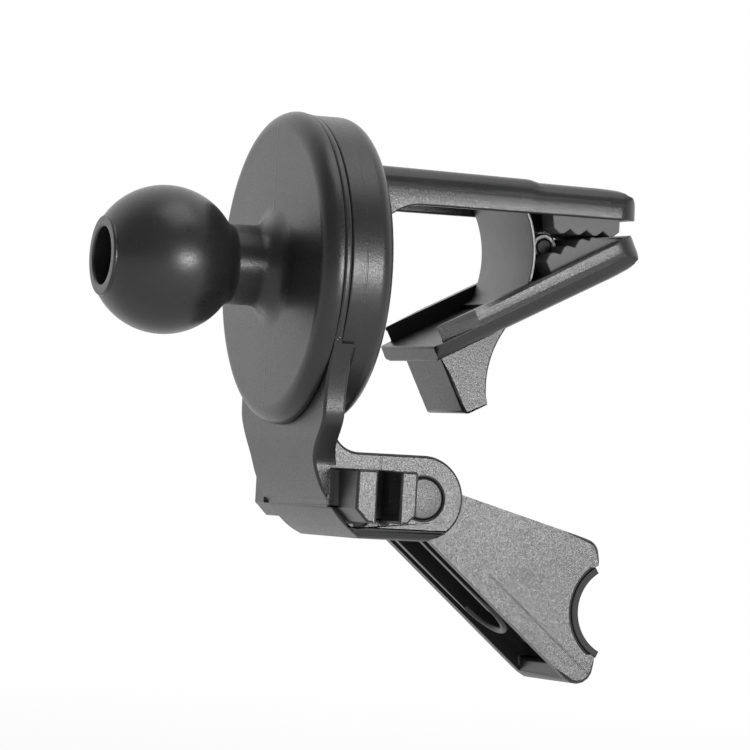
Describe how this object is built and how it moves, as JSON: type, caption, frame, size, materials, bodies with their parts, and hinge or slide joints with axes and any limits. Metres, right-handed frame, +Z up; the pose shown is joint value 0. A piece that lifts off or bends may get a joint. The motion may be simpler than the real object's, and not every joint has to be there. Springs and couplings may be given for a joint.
{
  "type": "air vent gps mount",
  "caption": "Vent clip with a ball that a holder snaps onto, a swivelling bracket, and a folding leg that rests on the vent below the gripped slat.",
  "frame": {"origin": "centre of the ball", "axes": "-Y runs out through the ball towards the holder, +Y into the vent, +Z up, +X across the slat"},
  "size_m": [0.036, 0.0631, 0.0641],
  "materials": {
    "ball_plastic": "fine moulded grain, satin",
    "screw_steel": "zinc plated",
    "washer_steel": "zinc plated",
    "friction_rubber": "matt",
    "bracket_plastic": "fine moulded grain, satin",
    "leg_plastic": "fine moulded grain, satin",
    "pin_plastic": "satin",
    "foot_rubber": "matt",
    "clip_plastic": "fine moulded grain, satin",
    "jaw_plastic": "fine moulded grain, satin",
    "pin_steel": "bright drawn",
    "spring_steel": "smooth rolled strip",
    "pad_rubber": "satin",
    "lower_pad_rubber": "satin"
  },
  "bodies": {
    "clip": {"clip_body": "clip_plastic", "ball_plate": "ball_plastic", "centre_screw": "screw_steel", "screw_washer": "washer_steel", "friction_washer": "friction_rubber", "band_spring": "spring_steel", "upper_pad": "pad_rubber"},
    "bracket": {"swivel_bracket": "bracket_plastic"},
    "leg": {"support_leg": "leg_plastic", "leg_pin": "pin_plastic", "foot_strip": "foot_rubber"},
    "jaw": {"lower_jaw": "jaw_plastic", "hinge_pin": "pin_steel", "lower_pad": "lower_pad_rubber"}
  },
  "joints": [
    {"name": "bracket_swivel", "type": "hinge", "parent": "clip", "child": "bracket", "pos_m": [0, 0, 0], "axis": [0, 1, 0], "continuous": true},
    {"name": "leg_hinge", "type": "hinge", "parent": "bracket", "child": "leg", "pos_m": [0, 0.0292, -0.0256], "axis": [1, 0, 0], "range_deg": [-50, 15]},
    {"name": "jaw_hinge", "type": "hinge", "parent": "clip", "child": "jaw", "pos_m": [0, 0.0451, 0.0043], "axis": [-1, 0, 0], "range_deg": [0, 25], "stiffness_Nm_per_rad": 0.1, "springref_deg": -34.38, "deforming": ["band_spring"]}
  ]
}
